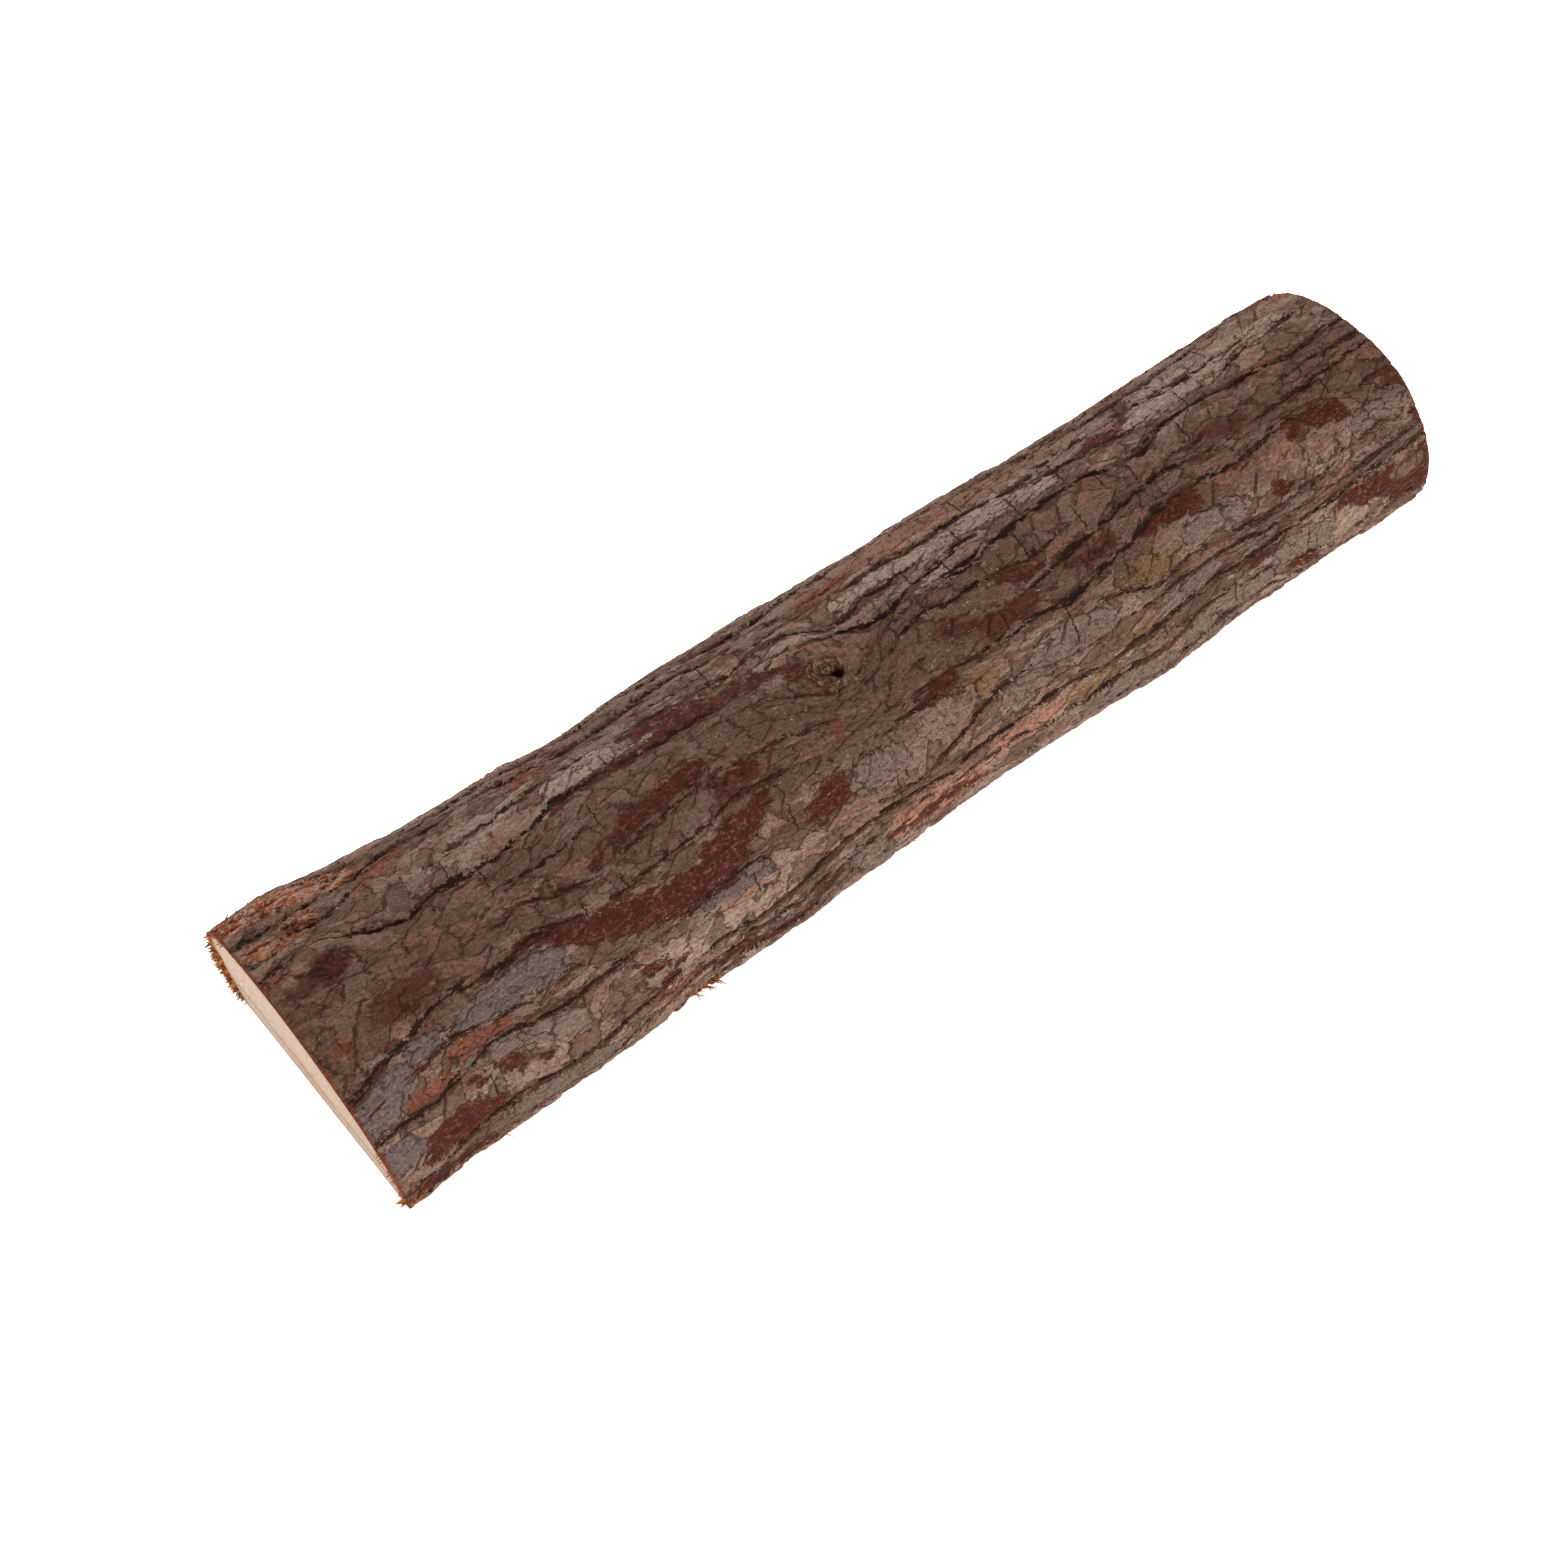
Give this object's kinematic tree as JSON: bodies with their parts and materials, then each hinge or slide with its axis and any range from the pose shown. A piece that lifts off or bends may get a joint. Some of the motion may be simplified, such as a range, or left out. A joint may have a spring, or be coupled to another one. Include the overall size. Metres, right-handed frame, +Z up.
{
  "type": "half wood log",
  "caption": "Short half log with its bark on: a D-shaped length of tapering branch wood, sawn flat underneath and cut across both ends, for display or craft.",
  "frame": {"origin": "middle of the outline box of the sawn flat face that the log rests on", "axes": "+X along the grain from the wide butt end to the narrow top end, +Y across the log, +Z up out of the rounded bark side"},
  "size_m": [0.2506, 0.0636, 0.0401],
  "materials": {
    "bark": "rough grey-brown plated bark with red-brown inner bark showing, over pale sawn wood"
  },
  "bodies": {
    "root": {"log": "bark"}
  },
  "joints": []
}
